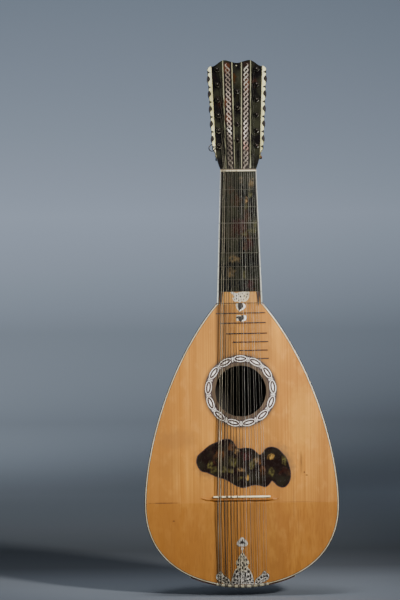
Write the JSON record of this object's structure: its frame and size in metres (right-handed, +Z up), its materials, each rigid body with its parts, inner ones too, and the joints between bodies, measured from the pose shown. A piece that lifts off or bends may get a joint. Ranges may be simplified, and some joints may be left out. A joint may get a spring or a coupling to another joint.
{
  "type": "bass mandolin",
  "caption": "Bowl-backed bass mandolin with a stave-built body, canted soundboard, inlaid soundhole, flush fretted neck and a raked head whose rear pegs turn.",
  "frame": {"origin": "on the centre line at the nut's speaking edge, in the plane of the soundboard's front face, where a hanger's yoke takes the neck", "axes": "+Z up the neck towards the head, -Y out of the soundboard's front, +X towards the treble side (the right of the picture)"},
  "size_m": [0.3306, 0.1799, 0.9002],
  "materials": {
    "spruce": "thin oil varnish over fine straight grain",
    "bowl_wood": "satin varnish",
    "neck_wood": "satin dark veneer",
    "brace_wood": "bare",
    "dark_wood": "polished",
    "tortoiseshell": "polished, amber patches",
    "bone": "satin",
    "pearl": "polished",
    "brass_string": "drawn wire",
    "steel_string": "drawn wire"
  },
  "bodies": {
    "instrument": {"soundboard": "spruce", "edge_binding": "bone", "rosette": "pearl", "scratchplate": "tortoiseshell", "tail_ornament": "pearl", "bridge": "dark_wood", "saddle": "bone", "brace_upper": "brace_wood", "brace_lower": "brace_wood", "tail_block": "brace_wood", "neck_block": "brace_wood", "tail_cap": "bowl_wood", "tail_guard": "bone", "neck": "neck_wood", "fingerboard": "tortoiseshell", "nut": "bone", "head": "neck_wood", "head_edge_left": "bone", "head_edge_right": "bone", "bowl_ribs_1": "bowl_wood", "bowl_ribs_2": "bowl_wood", "bowl_ribs_3": "bowl_wood", "bowl_ribs_4": "bowl_wood", "bowl_ribs_5": "bowl_wood", "bowl_ribs_6": "bowl_wood", "bowl_ribs_7": "bowl_wood", "bowl_ribs_8": "bowl_wood", "bowl_ribs_9": "bowl_wood", "string_1": "brass_string", "string_2": "brass_string", "string_3": "brass_string", "string_4": "brass_string", "string_5": "brass_string", "string_6": "brass_string", "string_7": "brass_string", "string_8": "brass_string", "string_9": "steel_string", "string_10": "steel_string", "string_11": "steel_string", "string_12": "steel_string", "string_13": "steel_string", "string_14": "steel_string", "string_15": "steel_string", "string_16": "steel_string"},
    "peg_left_1": {"peg_left_1": "dark_wood"},
    "peg_left_2": {"peg_left_2": "dark_wood"},
    "peg_left_3": {"peg_left_3": "dark_wood"},
    "peg_left_4": {"peg_left_4": "dark_wood"},
    "peg_left_5": {"peg_left_5": "dark_wood"},
    "peg_left_6": {"peg_left_6": "dark_wood"},
    "peg_right_1": {"peg_right_1": "dark_wood"},
    "peg_right_2": {"peg_right_2": "dark_wood"},
    "peg_right_3": {"peg_right_3": "dark_wood"},
    "peg_right_4": {"peg_right_4": "dark_wood"},
    "peg_right_5": {"peg_right_5": "dark_wood"},
    "peg_right_6": {"peg_right_6": "dark_wood"},
    "peg_middle_1": {"peg_middle_1": "dark_wood"},
    "peg_middle_2": {"peg_middle_2": "dark_wood"},
    "peg_middle_3": {"peg_middle_3": "dark_wood"},
    "peg_middle_4": {"peg_middle_4": "dark_wood"}
  },
  "joints": [
    {"name": "peg_left_1_turn", "type": "hinge", "parent": "instrument", "child": "peg_left_1", "pos_m": [-0.032, 0.01219, 0.04205], "axis": [0, 0.9563, -0.2924], "continuous": true},
    {"name": "peg_left_2_turn", "type": "hinge", "parent": "instrument", "child": "peg_left_2", "pos_m": [-0.0324, 0.02032, 0.06864], "axis": [0, 0.9563, -0.2924], "continuous": true},
    {"name": "peg_left_3_turn", "type": "hinge", "parent": "instrument", "child": "peg_left_3", "pos_m": [-0.0328, 0.02845, 0.09522], "axis": [0, 0.9563, -0.2924], "continuous": true},
    {"name": "peg_left_4_turn", "type": "hinge", "parent": "instrument", "child": "peg_left_4", "pos_m": [-0.0332, 0.03658, 0.12181], "axis": [0, 0.9563, -0.2924], "continuous": true},
    {"name": "peg_left_5_turn", "type": "hinge", "parent": "instrument", "child": "peg_left_5", "pos_m": [-0.0336, 0.04471, 0.14839], "axis": [0, 0.9563, -0.2924], "continuous": true},
    {"name": "peg_left_6_turn", "type": "hinge", "parent": "instrument", "child": "peg_left_6", "pos_m": [-0.034, 0.05283, 0.17498], "axis": [0, 0.9563, -0.2924], "continuous": true},
    {"name": "peg_right_1_turn", "type": "hinge", "parent": "instrument", "child": "peg_right_1", "pos_m": [0.032, 0.01219, 0.04205], "axis": [0, 0.9563, -0.2924], "continuous": true},
    {"name": "peg_right_2_turn", "type": "hinge", "parent": "instrument", "child": "peg_right_2", "pos_m": [0.0324, 0.02032, 0.06864], "axis": [0, 0.9563, -0.2924], "continuous": true},
    {"name": "peg_right_3_turn", "type": "hinge", "parent": "instrument", "child": "peg_right_3", "pos_m": [0.0328, 0.02845, 0.09522], "axis": [0, 0.9563, -0.2924], "continuous": true},
    {"name": "peg_right_4_turn", "type": "hinge", "parent": "instrument", "child": "peg_right_4", "pos_m": [0.0332, 0.03658, 0.12181], "axis": [0, 0.9563, -0.2924], "continuous": true},
    {"name": "peg_right_5_turn", "type": "hinge", "parent": "instrument", "child": "peg_right_5", "pos_m": [0.0336, 0.04471, 0.14839], "axis": [0, 0.9563, -0.2924], "continuous": true},
    {"name": "peg_right_6_turn", "type": "hinge", "parent": "instrument", "child": "peg_right_6", "pos_m": [0.034, 0.05283, 0.17498], "axis": [0, 0.9563, -0.2924], "continuous": true},
    {"name": "peg_middle_1_turn", "type": "hinge", "parent": "instrument", "child": "peg_middle_1", "pos_m": [0, 0.01512, 0.05162], "axis": [0, 0.9563, -0.2924], "continuous": true},
    {"name": "peg_middle_2_turn", "type": "hinge", "parent": "instrument", "child": "peg_middle_2", "pos_m": [0, 0.02374, 0.07983], "axis": [0, 0.9563, -0.2924], "continuous": true},
    {"name": "peg_middle_3_turn", "type": "hinge", "parent": "instrument", "child": "peg_middle_3", "pos_m": [0, 0.03237, 0.10804], "axis": [0, 0.9563, -0.2924], "continuous": true},
    {"name": "peg_middle_4_turn", "type": "hinge", "parent": "instrument", "child": "peg_middle_4", "pos_m": [0, 0.04099, 0.13625], "axis": [0, 0.9563, -0.2924], "continuous": true}
  ]
}
